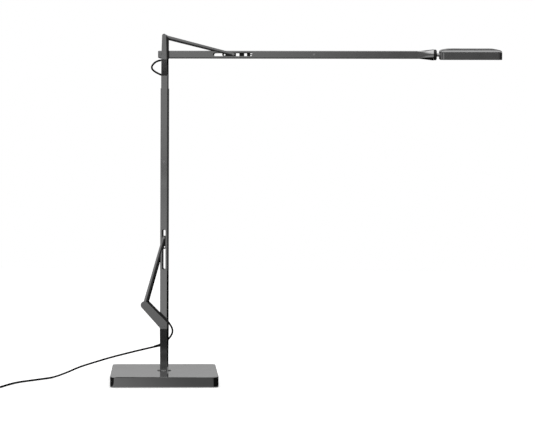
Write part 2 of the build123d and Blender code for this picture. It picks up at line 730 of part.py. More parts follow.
def head_frame():
    top = HEAD_FLOOR + HEAD_WALL_TALL
    frame = head_slab(0, HEAD_FLOOR, top)
    frame = fillet(frame.faces().sort_by(Axis.Z)[0].edges(), 0.6)
    frame -= head_slab(HEAD_WALL, HEAD_FLOOR + DIFFUSER_THICK, top + 1)
    frame -= head_slab(HEAD_WALL * 3, HEAD_FLOOR - 1, HEAD_FLOOR + DIFFUSER_THICK + 1)
    for x, y in head_bosses():
        frame += rod_z(x, y, 2.4, HEAD_FLOOR + DIFFUSER_THICK, top)
        frame -= rod_z(x, y, 1.0, HEAD_FLOOR + DIFFUSER_THICK + 2, top + 1)
    return frame - rod_x(HEAD_X - 1, HEAD_X + HEAD_WALL + 1, STEM_NECK_RADIUS + SEAT)


def head_bosses():
    half_long = HEAD_LONG / 2 - HEAD_WALL - 2.2
    half_deep = HEAD_DEEP / 2 - HEAD_WALL - 2.2
    return [(HEAD_MID + sx * half_long, sy * half_deep) for sx in (-1, 1) for sy in (-1, 1)]


def crown_section(part_way):
    """One outline of the crown, on the quarter ellipse that rolls from its rim to its top."""
    angle = math.radians(90.0 * part_way)
    inset = CROWN_ROLL * (1 - math.cos(angle))
    height = CROWN_TALL * math.sin(angle)
    corner = max(HEAD_CORNER - inset * 0.2, 1.5)
    outline = RectangleRounded(HEAD_LONG - 2 * inset, HEAD_DEEP - 2 * inset, corner)
    return Pos(HEAD_MID, 0, CROWN_START + height) * outline


def head_cover():
    steps = (0.0, 0.28, 0.52, 0.76, 1.0)
    cover = loft([crown_section(s) for s in steps])
    cover -= head_slab(HEAD_WALL + 4, CROWN_START - 1, CROWN_START + 2.0)
    lip = head_slab(HEAD_WALL + GAP, CROWN_START - 1.6, CROWN_START)
    lip -= head_slab(HEAD_WALL + 1.8, CROWN_START - 2, CROWN_START + 1)
    for x, y in head_bosses():
        lip -= rod_z(x, y, 2.4 + GAP, CROWN_START - 3, CROWN_START)
    cover += lip
    cover -= rod_z(BUTTON_X, 0, BUTTON_RADIUS + GAP, CROWN_START - 1, HEAD_TOP + 1)
    for x, y in head_bosses():
        cover -= rod_z(x, y, 0.95 + SEAT, CROWN_START - 2, CROWN_START + 1.2)
    return cover


BUTTON_X = HEAD_X + BUTTON_BACK


def head_screws():
    screws = []
    for x, y in head_bosses():
        shank = rod_z(x, y, 0.95, HEAD_FLOOR + DIFFUSER_THICK + 2.5, CROWN_START + 1.0)
        screws.append(shank)
    return together(screws)


def diffuser():
    window = HEAD_WALL * 3 + GAP / 2
    plate = head_slab(window, HEAD_FLOOR + 0.5, HEAD_FLOOR + DIFFUSER_THICK)
    rim = head_slab(HEAD_WALL + 5.2, HEAD_FLOOR + DIFFUSER_THICK, HEAD_FLOOR + DIFFUSER_THICK + 1.0)
    return plate + rim


def light_guide():
    low = HEAD_FLOOR + DIFFUSER_THICK + 1.0
    return head_slab(HEAD_WALL + 5.2, low, low + GUIDE_THICK)


def heat_spreader():
    low = HEAD_FLOOR + DIFFUSER_THICK + 1.0 + GUIDE_THICK
    return head_slab(HEAD_WALL + 5.2, low, low + SPREADER_THICK)


def led_board():
    x0 = HEAD_X + HEAD_LONG - HEAD_WALL - 1.0 - BOARD_THICK
    low = HEAD_FLOOR + DIFFUSER_THICK + 0.2
    half = HEAD_DEEP / 2 - LED_BOARD_SHORT
    return block(x0, x0 + BOARD_THICK, -half, half, low, low + 6.0)


def led_chips():
    x1 = HEAD_X + HEAD_LONG - HEAD_WALL - 1.0 - BOARD_THICK
    mid = HEAD_FLOOR + DIFFUSER_THICK + 1.0 + GUIDE_THICK / 2
    chips = []
    for i in range(LED_COUNT):
        y = (i - (LED_COUNT - 1) / 2) * LED_SPACING
        half = LED_SIDE / 2
        chips.append(block(x1 - 0.8, x1, y - half, y + half, mid - 1.2, mid + 1.2))
    return together(chips)


def dimmer_board():
    low = HEAD_FLOOR + DIFFUSER_THICK + 1.0 + GUIDE_THICK + SPREADER_THICK
    x0 = BUTTON_X - DIMMER_HALF_LONG
    x1 = BUTTON_X + DIMMER_HALF_LONG
    board = block(x0, x1, -DIMMER_HALF_DEEP, DIMMER_HALF_DEEP, low, low + 1.2)
    return board + block(BUTTON_X - 3, BUTTON_X + 3, -3, 3, low + 1.2, low + 3.0)


def touch_button():
    top = HEAD_TOP + BUTTON_PROUD
    low = HEAD_FLOOR + DIFFUSER_THICK + 1.0 + GUIDE_THICK + SPREADER_THICK + 3.0 + BUTTON_TRAVEL
    button = rod_z(BUTTON_X, 0, BUTTON_RADIUS, top - 2.2, top)
    button = fillet(button.faces().sort_by(Axis.Z)[-1].edges(), 0.6)
    return button + rod_z(BUTTON_X, 0, 2.0, low + 0.1, top - 2.0)


def leaned(piece):
    """Turns a piece of the head about the arm's axis, so that its front edge rests lower."""
    turn = Pos(0, 0, ELBOW_Z) * Rot(HEAD_LEAN, 0, 0) * Pos(0, 0, -ELBOW_Z)
    return lambda: together([turn * solid for solid in piece().solids()])


# ---- Leads, cord, coil and plug-in supply ----

# Each route is a list of points chosen by hand, from the first end to the last.
ELBOW_LEAD = [
    (8.5, 0.0, ELBOW_Z - 2.9),
    (-2.0, 0.0, ELBOW_Z - 7.9),
    (-13.8, 0.0, ELBOW_Z - 9.8),
    (-22.0, 0.0, ELBOW_Z - 19.2),
    (-14.5, 0.0, ELBOW_Z - 27.3),
    (-1.0, 0.0, ELBOW_Z - 32.4),
]
SHOULDER_LEAD = [
    (2.0, 0.0, SHOULDER_Z + 11.0),
    (9.0, 0.0, SHOULDER_Z + 2.0),
    (13.2, 0.0, SHOULDER_Z - 6.5),
    (11.0, 0.0, SHOULDER_Z - 15.5),
    (3.2, 0.0, SHOULDER_Z - 24.0),
]
FREE_CORD = [
    (-16.3, 0.0, 51.4),
    (-31.0, 1.4, 47.9),
    (-56.0, 5.7, 41.3),
    (-84.7, 8.5, 33.6),
    (-108.2, 11.8, 26.0),
    (-131.8, 15.2, 18.4),
    (-150.0, 18.1, 9.9),
    (-171.9, 20.7, 1.4),
    (-184.5, -1.2, 1.4),
    (-196.7, -22.4, 1.4),
    (-215.5, -53.0, 1.4),
    (-223.5, -87.9, 1.4),
    (-228.4, -120.0, 1.4),
    (-236.0, -150.0, 1.4),
]


def lead_hole(start, toward):
    """The round hole that lets a lead out of a tube, along the lead's own first run."""
    a = Vector(*start)
    b = Vector(*toward)
    way = (b - a).normalized()
    return Plane(a - way * 3, z_dir=way) * extrude(Circle(LEAD_RADIUS + GAP), 14.0)


def corner_radii(points, share=0.45):
    """At each corner, the largest arc that the two runs beside it allow."""
    radii = []
    for a, b, c in zip(points, points[1:], points[2:]):
        before = Vector(*b) - Vector(*a)
        after = Vector(*c) - Vector(*b)
        turn = math.radians(before.get_angle(after))
        radii.append(share * min(before.length, after.length) / math.tan(turn / 2))
    return radii


def tube_along(points, radius, name):
    radii = corner_radii(points)
    path = FilletPolyline(*points, radius=radii)
    first = Vector(*points[1]) - Vector(*points[0])
    tube = sweep(Plane(points[0], z_dir=first) * Circle(radius), path)
    wanted = math.pi * radius**2 * path.length
    print(name, "radii", [round(r, 1) for r in radii], "length", round(path.length, 1))
    print(name, "volume", round(tube.volume, 1), "section times length", round(wanted, 1))
    return tube


def cord_coil():
    ring = rod_z(COIL_X, COIL_Y, COIL_OUTER, 0, COIL_TALL)
    ring -= rod_z(COIL_X, COIL_Y, COIL_INNER, -1, COIL_TALL + 1)
    ring = fillet(ring.edges().filter_by(GeomType.CIRCLE), 2.6)
    return ring


def cord_tail():
    """The last straight stretch, off the side of the coil and into the supply's strain relief."""
    start = COIL_Y
    return rod_y(TAIL_X, TAIL_Z, CORD_RADIUS, start, start + TAIL_LONG)


def adapter_case():
    half = ADAPTER_WIDE / 2
    case = block(
        ADAPTER_X - half, ADAPTER_X + half, ADAPTER_Y - ADAPTER_LONG / 2,
        ADAPTER_Y + ADAPTER_LONG / 2, 0, ADAPTER_TALL,
    )
    return fillet(case.edges(), 3.0)


def adapter_prongs():
    start = ADAPTER_Y + ADAPTER_LONG / 2
    prongs = []
    for side in (-1, 1):
        x = ADAPTER_X + side * PRONG_SPACING / 2
        prong = rod_y(x, ADAPTER_TALL / 2, PRONG_RADIUS, start, start + PRONG_LONG)
        prongs.append(fillet(prong.faces().sort_by(Axis.Y)[-1].edges(), 1.0))
    return together(prongs)


def adapter_relief():
    start = ADAPTER_Y - ADAPTER_LONG / 2
    taper = Cone(CORD_RADIUS + 2.0, CORD_RADIUS + 0.5, ADAPTER_RELIEF)
    return Pos(ADAPTER_X, start - ADAPTER_RELIEF / 2, TAIL_Z) * Rot(90, 0, 0) * taper


NODES = {
    "base_casting": base_casting,
    "base_ballast": base_ballast,
    "bottom_cover": bottom_cover,
    "cover_screws": cover_screws,
    "foot_pads": foot_pads,
    "swivel_bush": swivel_bush,
    "swivel_collar": swivel_collar,
    "swivel_spindle": swivel_spindle,
    "swivel_nut": swivel_nut,
    "shoulder_bracket": shoulder_bracket,
    "shoulder_pin": shoulder_pin,
    "shoulder_trim": shoulder_trim,
    "cord_relief": cord_relief,
    "lower_arm_tube": lower_arm_tube,
    "shoulder_knuckle": shoulder_knuckle,
    "elbow_bracket": elbow_bracket,
    "elbow_pin": elbow_pin,
    "elbow_trim": elbow_trim,
    "upper_arm_tube": upper_arm_tube,
    "elbow_bushes": elbow_bushes,
    "upper_arm_cap": upper_arm_cap,
    "lower_slider": lambda: LOWER_SLIDER_AT * slider(),
    "lower_slider_pin": lambda: LOWER_SLIDER_AT * slider_pin(),
    "lower_spring_yoke": lambda: LOWER_SLIDER_AT * spring_yoke(LOWER_YOKE_BLOCKS, LOWER_YOKE_LONG),
    "lower_spring": lambda: LOWER_SLIDER_AT * pull_spring(LOWER_SPRING_FROM),
    "lower_spring_anchor": lambda: Pos(0, 0, LOWER_ANCHOR_Z) * spring_anchor(),
    "lower_strut": lambda: LOWER_STRUT_AT * strut(LOWER_STRUT_LONG),
    "lower_strut_pivot": lambda: LOWER_STRUT_AT * strut_pivot(),
    "upper_slider": lambda: UPPER_SLIDER_AT * slider(),
    "upper_slider_pin": lambda: UPPER_SLIDER_AT * slider_pin(),
    "upper_spring_yoke": lambda: UPPER_SLIDER_AT * spring_yoke(UPPER_YOKE_BLOCKS, UPPER_YOKE_LONG),
    "upper_spring": lambda: UPPER_SLIDER_AT * pull_spring(UPPER_SPRING_FROM),
    "upper_spring_anchor": lambda: Pos(UPPER_ANCHOR_X, 0, ELBOW_Z) * spring_anchor(),
    "upper_strut": lambda: UPPER_STRUT_AT * strut(UPPER_STRUT_LONG),
    "upper_strut_pivot": lambda: UPPER_STRUT_AT * strut_pivot(),
    "head_socket": head_socket,
    "nose_ring": nose_ring,
    "ball_stem": leaned(ball_stem),
    "head_frame": leaned(head_frame),
    "head_cover": leaned(head_cover),
    "head_screws": leaned(head_screws),
    "diffuser": leaned(diffuser),
    "light_guide": leaned(light_guide),
    "heat_spreader": leaned(heat_spreader),
    "led_board": leaned(led_board),
    "led_chips": leaned(led_chips),
    "dimmer_board": leaned(dimmer_board),
    "touch_button": leaned(touch_button),
    "elbow_lead": lambda: tube_along(ELBOW_LEAD, LEAD_RADIUS, "elbow_lead"),
    "shoulder_lead": lambda: tube_along(SHOULDER_LEAD, LEAD_RADIUS, "shoulder_lead"),
    "cord_tube": lambda: tube_along(FREE_CORD, CORD_RADIUS, "cord_tube"),
    "cord_coil": cord_coil,
    "cord_tail": cord_tail,
    "adapter_case": adapter_case,
    "adapter_prongs": adapter_prongs,
    "adapter_relief": adapter_relief,
}

os.makedirs("parts", exist_ok=True)
for node, make in NODES.items():
    export_step(make(), f"parts/{node}.step")
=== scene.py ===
import math

import bmesh
import bpy
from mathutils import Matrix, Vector


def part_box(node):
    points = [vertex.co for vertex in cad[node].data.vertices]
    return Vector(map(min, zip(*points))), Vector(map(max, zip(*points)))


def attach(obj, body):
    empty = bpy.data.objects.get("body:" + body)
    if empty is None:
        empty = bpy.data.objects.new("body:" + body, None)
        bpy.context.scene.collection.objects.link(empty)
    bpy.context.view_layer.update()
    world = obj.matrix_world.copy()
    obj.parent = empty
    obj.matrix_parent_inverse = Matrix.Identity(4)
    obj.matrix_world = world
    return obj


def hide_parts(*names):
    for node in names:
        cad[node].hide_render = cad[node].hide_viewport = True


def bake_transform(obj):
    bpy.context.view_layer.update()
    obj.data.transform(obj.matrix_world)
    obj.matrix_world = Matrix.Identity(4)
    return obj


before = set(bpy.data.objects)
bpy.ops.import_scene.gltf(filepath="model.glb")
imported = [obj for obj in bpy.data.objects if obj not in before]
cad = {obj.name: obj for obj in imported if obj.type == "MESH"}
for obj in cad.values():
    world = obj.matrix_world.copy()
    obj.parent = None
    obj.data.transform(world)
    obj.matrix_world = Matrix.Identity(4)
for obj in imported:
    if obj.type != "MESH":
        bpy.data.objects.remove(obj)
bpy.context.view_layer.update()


# ---- Studio ----
# A pale table top in a room that looks plain white. To the object the room is bright above and
# dark low down, but for a window in front and grey walls behind and to the left. Dark cards on
# the table and above it show only as reflections.

camera = bpy.data.objects.new("camera", bpy.data.cameras.new("camera"))
bpy.context.scene.collection.objects.link(camera)
bpy.context.scene.camera = camera
camera.location = (0.34599, -3.11344, 0.34313)
camera.rotation_euler = (math.radians(90 - 1.617), math.radians(-0.2251), math.radians(3.4947))
camera.data.lens = 138.98
camera.data.sensor_width = 36.0
bpy.context.scene.view_settings.view_transform = "Standard"


class Tint:
    """One value or colour inside a finish. Arithmetic on values adds Math nodes."""

    def __init__(self, tree, socket=None):
        self.tree = tree
        self.socket = socket

    def node(self, kind, settings=None, sockets=None, out=0):
        made = self.tree.nodes.new("ShaderNode" + kind)
        for name, value in (settings or {}).items():
            setattr(made, name, value)
        for name, value in (sockets or {}).items():
            if isinstance(value, Tint):
                self.tree.links.new(value.socket, made.inputs[name])
            else:
                made.inputs[name].default_value = value
        return Tint(self.tree, made.outputs[out] if made.outputs else None)

    def side(self, out):
        """Another value from the same node, such as one axis."""
        return Tint(self.tree, self.socket.node.outputs[out])

    def math(self, operation, first, second):
        return self.node("Math", {"operation": operation}, {0: first, 1: second})

    def __add__(self, other):
        return self.math("ADD", self, other)

    def __radd__(self, other):
        return self.math("ADD", other, self)

    def __sub__(self, other):
        return self.math("SUBTRACT", self, other)

    def __rsub__(self, other):
        return self.math("SUBTRACT", other, self)

    def __mul__(self, other):
        return self.math("MULTIPLY", self, other)

    def __rmul__(self, other):
        return self.math("MULTIPLY", other, self)

    def between(self, low, high):
        """0 up to low, 1 from high on, and smooth in between."""
        sockets = {"Value": self, "From Min": low, "From Max": high, "To Min": 0.0, "To Max": 1.0}
        return self.node("MapRange", {"interpolation_type": "SMOOTHSTEP"}, sockets)

    def blend(self, first, second):
        """The colour that lies this far from the first to the second."""
        return self.node("Mix", {"data_type": "RGBA"}, {0: self, 6: first, 7: second}, out=2)


def grey(level):
    return (level, level, level, 1.0)


world = bpy.data.worlds.new("room")
world.use_nodes = True
bpy.context.scene.world = world
world.node_tree.nodes.clear()
room = Tint(world.node_tree)
direction = room.node("SeparateXYZ", sockets={0: room.node("TexCoord", out="Generated")})
right = direction.side("X")
back = direction.side("Y")
up = direction.side("Z")
ray = room.node("LightPath", out="Is Camera Ray")
seen = room.math("MAXIMUM", ray, ray.side("Is Transmission Ray"))
window = (0 - back).between(0.6, 0.95) * (0.456 - 0.36 * right.between(-0.062, 0.004))
left_wall = 0.35 * (0 - right).between(0.8, 0.97)
floor_band = 0.04 + window + 0.03 * back.between(0.5, 0.9) + left_wall
wall_band = 0.05 + window + 0.42 * back.between(0.0, 0.9) + left_wall
ceiling = 0.95 + 0.2 * up.between(0.5, 0.9)
room_light = floor_band + up.between(0.07, 0.098) * (wall_band - floor_band)
room_light = room_light + up.between(0.16, 0.45) * (ceiling - room_light)
strength = seen + (1 - seen) * room_light
light = room.node("Background", sockets={"Color": grey(1.0), "Strength": strength})
room.node("OutputWorld", sockets={"Surface": light})


def lamp(name, at, aim, size, watts):
    """A square soft light that polished metal doesn't mirror."""
    data = bpy.data.lights.new(name, "AREA")
    data.size = size
    data.energy = watts
    made = bpy.data.objects.new(name, data)
    bpy.context.scene.collection.objects.link(made)
    made.location = at
    made.rotation_euler = (Vector(aim) - Vector(at)).to_track_quat("-Z", "Y").to_euler()
    made.visible_glossy = False


lamp("softbox_above", (0.1, -0.2, 2.0), (0.1, 0.0, 0.3), 1.4, 9.0)


def new_object(name, mesh):
    made = bpy.data.objects.new(name, mesh)
    bpy.context.scene.collection.objects.link(made)
    return made


def new_finish(name):
    """An empty finish, and its first tint: the place where the other values come from."""
    material = bpy.data.materials.new(name)
    material.use_nodes = True
    material.node_tree.nodes.clear()
    return material, Tint(material.node_tree)


def card(name, low, high, height):
    """A level sheet of the studio, from its low corner to its high one."""
    mesh = bpy.data.meshes.new(name)
    x0, y0 = low
    x1, y1 = high
    mesh.from_pydata([(x0, y0, 0), (x1, y0, 0), (x1, y1, 0), (x0, y1, 0)], [], [(0, 1, 2, 3)])
    made = new_object(name, mesh)
    made.location = (0.0, 0.0, height)
    return made


def dark_card(name, low, high, height, strength):
    """A card that only reflections show. strength is its level, or gives the level at each place."""
    made = card(name, low, high, height)
    finish, tint = new_finish(name + "_grey")
    if callable(strength):
        strength = strength(tint.node("SeparateXYZ", sockets={0: tint.node("TexCoord", out="Object")}))
    sockets = {"Color": grey(1.0), "Strength": strength}
    tint.node("OutputMaterial", sockets={"Surface": tint.node("Emission", sockets=sockets)})
    finish.cycles.emission_sampling = "NONE"
    made.data.materials.append(finish)
    made.visible_camera = False
    made.visible_diffuse = False
    made.visible_transmission = False
    made.visible_shadow = False


def card_light(x):
    """Brighter in front, far off and to the left, and nearly black beside the base."""
    ahead = 0 - x.side("Y")
    to_left = (0 - x - 0.14 * ahead).between(0.0675, 0.0695)
    to_right = (x - 0.12 * ahead).between(0.0735, 0.0765)
    beside = (to_left + to_right) * (1 - ahead.between(0.25, 0.4))
    behind_light = 0.1
    front_light = 0.38 - 0.2 * x.between(-0.09, 0.08)
    front = ahead.between(0.0, 0.08)
    light = behind_light + front * (front_light - behind_light) + 0.2 * ahead.between(0.4, 0.8)
    return light * (1 - 0.93 * beside)


table_top = card("table_top", (-3.0, -3.0), (3.0, 3.0), -0.0002)
table_white, tint = new_finish("table_white")
ray = tint.node("LightPath", out="Is Camera Ray")
seen = tint.math("MAXIMUM", ray, ray.side("Is Glossy Ray"))
seen = tint.math("MAXIMUM", seen, ray.side("Is Transmission Ray"))
paint = tint.node("BsdfDiffuse", sockets={"Color": grey(0.82)})
glow = tint.node("Emission", sockets={"Color": grey(1.0), "Strength": 0.3 * seen})
both = tint.node("AddShader", sockets={0: paint, 1: glow})
tint.node("OutputMaterial", sockets={"Surface": both})
table_white.cycles.emission_sampling = "NONE"
table_top.data.materials.append(table_white)
dark_card("floor_card", (-3.0, -3.0), (3.0, 3.0), -0.0001, card_light)
dark_card("post_card", (-0.06, -0.42), (0.06, -0.098), 0.0215, 0.07)
dark_card("fork_card", (-0.15, -0.9), (0.02, -0.33), 0.3, 0.0)
dark_card("ceiling_card", (-3.0, 0.45), (3.0, 2.5), 1.2, 0.2)


# ---- Base ----
# A flat square casting with rounded corners, plated and polished nearly to a mirror.
# An iron plate inside weighs it down, and four screws hold the bottom cover.


def grain(tint, size, detail=2.0, stretch=(1.0, 1.0, 1.0)):
    """Cloudy noise from 0 to 1 whose clouds are about size across, in metres."""
    place = tint.node("TexCoord", out="Object")
    scaled = tint.node("Mapping", sockets={"Vector": place, "Scale": stretch})
    sockets = {"Vector": scaled, "Scale": 1.0 / size, "Detail": detail}
    return tint.node("TexNoise", sockets=sockets)


def edge_mask(tint, radius):
    """1 on sharp edges, 0 on flat faces."""
    flat = tint.node("NewGeometry", out="Normal")
    rounded = tint.node("Bevel", {"samples": 4}, {"Radius": radius})
    same = tint.node("VectorMath", {"operation": "DOT_PRODUCT"}, {0: flat, 1: rounded}, out="Value")
    return 1 - same.between(0.9, 0.995)


rubbed_edge = 0.0004
softened_edge = 0.0003


def finish_off(material, tint, colour, rough, metal, bump, depth, shine=0.5):
    """Joins the colour, the roughness and the bump into the shader, with its edges softened."""
    softened = tint.node("Bevel", {"samples": 4}, {"Radius": softened_edge})
    sockets = {"Height": bump, "Distance": depth, "Strength": 1.0, "Normal": softened}
    raised = tint.node("Bump", sockets=sockets)
    sockets = {"Base Color": colour, "Roughness": rough, "Metallic": metal, "Normal": raised}
    shader = tint.node("BsdfPrincipled", sockets={**sockets, "Specular IOR Level": shine})
    tint.node("OutputMaterial", sockets={"Surface": shader})
    return material


def toned(level, tone=(1.0, 1.0, 1.0)):
    """This tone at this level, with no channel over 1."""
    return tuple(min(1.0, level * part) for part in tone) + (1.0,)


def metal_finish(name, level, rough, clouds_wide, worn=0.12, depth=0.00001, tone=(1.0, 1.0, 1.0)):
    """Plated metal: clouds in its gloss, fine orange peel, and brighter rubbed edges."""
    material, tint = new_finish(name)
    clouds = grain(tint, clouds_wide, 3.0)
    fine = grain(tint, clouds_wide / 6)
    rubbed = edge_mask(tint, rubbed_edge) * grain(tint, 0.002, 4.0).between(0.35, 0.65)
    body = clouds.blend(toned(level * 0.93, tone), toned(level, tone))
    colour = rubbed.blend(body, toned(level + worn, tone))
    roughness = rough + 0.05 * clouds + 0.12 * rubbed + 0.02 * fine
    return finish_off(material, tint, colour, roughness, 1.0, fine, depth)


def plastic_finish(name, colour, rough, depth=0.00002, stipple_wide=0.0006, shine=0.5):
    """Moulded plastic or rubber: a fine stipple, and a little dust in the colour."""
    material, tint = new_finish(name)
    stipple = grain(tint, stipple_wide)
    clouds = grain(tint, 0.012, 3.0)
    dusty = toned(1.0, tuple(part + 0.35 * part * (1 - part) + 0.004 for part in colour))
    tone = clouds.between(0.35, 0.75).blend(toned(1.0, colour), dusty)
    roughness = rough + 0.1 * clouds + 0.05 * stipple
    return finish_off(material, tint, tone, roughness, 0.0, stipple, depth, shine)


def dress(material, *names):
    """Gives a CAD part this finish."""
    for name in names:
        mesh = cad[name].data
        mesh.materials.clear()
        mesh.materials.append(material)


polished_casting = metal_finish("polished_casting", 0.36, 0.05, 0.02)
raw_iron = metal_finish("raw_iron", 0.2, 0.45, 0.006, worn=0.1, depth=0.00004)
plated_steel = metal_finish("plated_steel", 0.45, 0.25, 0.003)
black_plastic = plastic_finish("black_plastic", (0.008, 0.008, 0.008), 0.36, shine=0.3)
soft_rubber = plastic_finish("soft_rubber", (0.009, 0.009, 0.009), 0.6, shine=0.3)
dress(polished_casting, "base_casting")
dress(raw_iron, "base_ballast")
dress(plated_steel, "cover_screws")
dress(black_plastic, "bottom_cover")
dress(soft_rubber, "foot_pads")


# ---- Swivel and post ----
# The bent bracket is a U of plated steel plate that stands on a collar and turns with it.
# A spindle through a bronze bush holds it down, and a nut closes it under the base's roof.

polished_arm = metal_finish("polished_arm", 0.33, 0.13, 0.015)
polished_bracket = metal_finish("polished_bracket", 0.24, 0.14, 0.015)
bronze = (1.0, 0.72, 0.4)
bronze_bush = metal_finish("bronze_bush", 0.5, 0.35, 0.001, worn=0.1, depth=0.00003, tone=bronze)
dress(polished_bracket, "shoulder_bracket", "shoulder_pin")
dress(polished_arm, "swivel_collar")
dress(bronze_bush, "swivel_bush")
dress(plated_steel, "swivel_nut", "swivel_spindle")
dress(black_plastic, "shoulder_trim")


# ---- Arms ----
# Two flat rectangular tubes with the same dark polished coat. Each has a slot through its
# faces, and a fork or bracket at its end that holds the next joint's pin.

dress(polished_arm, "lower_arm_tube", "upper_arm_tube", "elbow_bracket", "elbow_pin")
dress(polished_arm, "upper_arm_cap")
dress(black_plastic, "shoulder_knuckle", "elbow_bushes", "elbow_trim")


# ---- Sliders, springs and struts ----
# A black slider runs in each slot, pulled by a drawn-wire spring through a black yoke.
# The folded strut that pins it to the joint before it has a near-black band painted along one edge:
# painted shade that stands in for its shaded side.

spring_steel = metal_finish("spring_steel", 0.4, 0.3, 0.001)
dress(black_plastic, "lower_slider", "upper_slider", "lower_spring_yoke", "upper_spring_yoke")
dress(plated_steel, "lower_spring_anchor", "upper_spring_anchor")
dress(plated_steel, "lower_slider_pin", "upper_slider_pin", "lower_strut_pivot", "upper_strut_pivot")


def middle(node):
    """The middle of a CAD part's box."""
    low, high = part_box(node)
    return (low + high) / 2


def pull_spring(arm, axis):
    """The coil inside an arm, as a copy of the CAD spring in spring steel."""
    node = arm + "_spring"
    low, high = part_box(node)
    anchored, pulled = middle(node), middle(node)
    anchored[axis] = high[axis]
    pulled[axis] = low[axis]
    mesh = cad[node].data.copy()
    mesh.materials.clear()
    mesh.materials.append(spring_steel)
    coil = new_object(arm + "_pull_spring", mesh)
    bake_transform(coil)
    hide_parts(node)


upper_arm_axis, lower_arm_axis = 0, 2
pull_spring("lower", lower_arm_axis)
pull_spring("upper", upper_arm_axis)


def strut_finish(name, start, end, painted_shade_from):
    """The arm's coat, and painted shade: a near-black band on the side that lies below a line along the
    strut, standing in for its shaded side.
    """
    material, tint = new_finish(name)
    clouds = grain(tint, 0.015, 3.0)
    fine = grain(tint, 0.0025, 2.0)
    along = (Vector(end) - Vector(start)).normalized()
    down = Vector((along.z, 0.0, -along.x))
    place = tint.node("TexCoord", out="Object")
    offset = tint.node("VectorMath", {"operation": "SUBTRACT"}, {0: place, 1: start})
    sockets = {0: offset, 1: down}
    below = tint.node("VectorMath", {"operation": "DOT_PRODUCT"}, sockets, out="Value")
    # Painted shade: below this line the strut turns near-black, rougher and less metallic, standing in for
    # its shaded side.
    painted_shade = (below + 0.0002 * fine).between(painted_shade_from, painted_shade_from + 0.0003)
    coat = clouds.blend(grey(0.31), grey(0.33))
    colour = painted_shade.blend(coat, grey(0.012))
    roughness = 0.13 + 0.05 * clouds + 0.2 * painted_shade
    return finish_off(material, tint, colour, roughness, 1 - painted_shade, fine, 0.00001)


for arm, painted_shade_from in (("upper", 0.0004), ("lower", 0.0002)):
    pivot, pin = middle(arm + "_strut_pivot"), middle(arm + "_slider_pin")
    dress(strut_finish(arm + "_strut_coat", pivot, pin, painted_shade_from), arm + "_strut")


# ---- Head ----
# A thin square light on a ball joint. The frame is a tray with a flat side wall, and the
# crown screws down on it. The light comes out of an opal plate on the underside.

bright_metal = metal_finish("bright_metal", 0.55, 0.1, 0.01)
opal_plastic = plastic_finish("opal_plastic", (0.82, 0.82, 0.8), 0.42, depth=0.00001)
clear_plastic = plastic_finish("clear_plastic", (0.85, 0.88, 0.9), 0.08, depth=0.000002)
bare_aluminium = metal_finish("bare_aluminium", 0.7, 0.3, 0.002)
circuit_board = plastic_finish("circuit_board", (0.03, 0.16, 0.08), 0.3)
led_phosphor = plastic_finish("led_phosphor", (0.85, 0.72, 0.2), 0.4)
dress(bright_metal, "head_socket")
dress(black_plastic, "nose_ring", "touch_button")
dress(plated_steel, "ball_stem", "head_screws")
dress(polished_arm, "head_frame", "head_cover")
dress(opal_plastic, "diffuser")
dress(clear_plastic, "light_guide")
dress(bare_aluminium, "heat_spreader")
dress(circuit_board, "led_board", "dimmer_board")
dress(led_phosphor, "led_chips")


# ---- Leads ----
# Two short loops of the supply's own black cable cross the shoulder and the elbow outside
# the tubes, with just enough slack for the joint to turn.

cable_radius = 0.0014
black_cable = plastic_finish(
    "black_cable", (0.003, 0.003, 0.003), 0.5, depth=0.00001, stipple_wide=0.0015, shine=0.0
)


def route(name, points):
    """A smooth NURBS line through the air, with these points as its control points."""
    data = bpy.data.curves.new(name, "CURVE")
    data.dimensions = "3D"
    spline = data.splines.new("NURBS")
    spline.points.add(len(points) - 1)
    for point, place in zip(spline.points, points):
        point.co = (*place, 1.0)
    spline.order_u = 3
    spline.use_endpoint_u = True
    data.resolution_u = 6
    return new_object(name, data)


def read_mesh(curve):
    """The curve as it stands now, as a mesh."""
    bpy.context.view_layer.update()
    graph = bpy.context.evaluated_depsgraph_get()
    return bpy.data.meshes.new_from_object(curve.evaluated_get(graph))


def cable(name, points, bodies, *nodes, bends_to=None):
    """A tube along the route. The bodies and bends_to arguments are not used."""
    line = route(name + "_line", points)
    path = [tuple(v.co) for v in read_mesh(line).vertices]
    line.data.bevel_depth = cable_radius
    line.data.bevel_resolution = 4
    line.data.use_fill_caps = True
    mesh = read_mesh(line)
    mesh.name = name
    bpy.data.objects.remove(line)
    mesh.shade_smooth()
    mesh.materials.clear()
    mesh.materials.append(black_cable)
    made = new_object(name, mesh)
    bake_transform(made)
    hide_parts(*nodes)
    return made, path


elbow_route = [
    (0.0085, 0.0, 0.4916), (-0.002, 0.0, 0.4866), (-0.0138, 0.0, 0.4847),
    (-0.022, 0.0, 0.4753), (-0.0145, 0.0, 0.4672), (-0.001, 0.0, 0.4621),
]
shoulder_route = [
    (0.002, 0.0, 0.095), (0.009, 0.0, 0.086), (0.0132, 0.0, 0.0775),
    (0.011, 0.0, 0.0685), (0.0032, 0.0, 0.06),
]
elbow_loop = cable("elbow_loop", elbow_route, ("upper_arm", "lower_arm"), "elbow_lead")
shoulder_loop = cable("shoulder_loop", shoulder_route, ("lower_arm", "post"), "shoulder_lead")


# ---- Supply cord ----
# Thin round two-core cable with a smooth black jacket, 1.8 m long and 2.8 mm thick. It sags
# from a ribbed sleeve on the post to the table, and runs off to a neat coil with a strap.

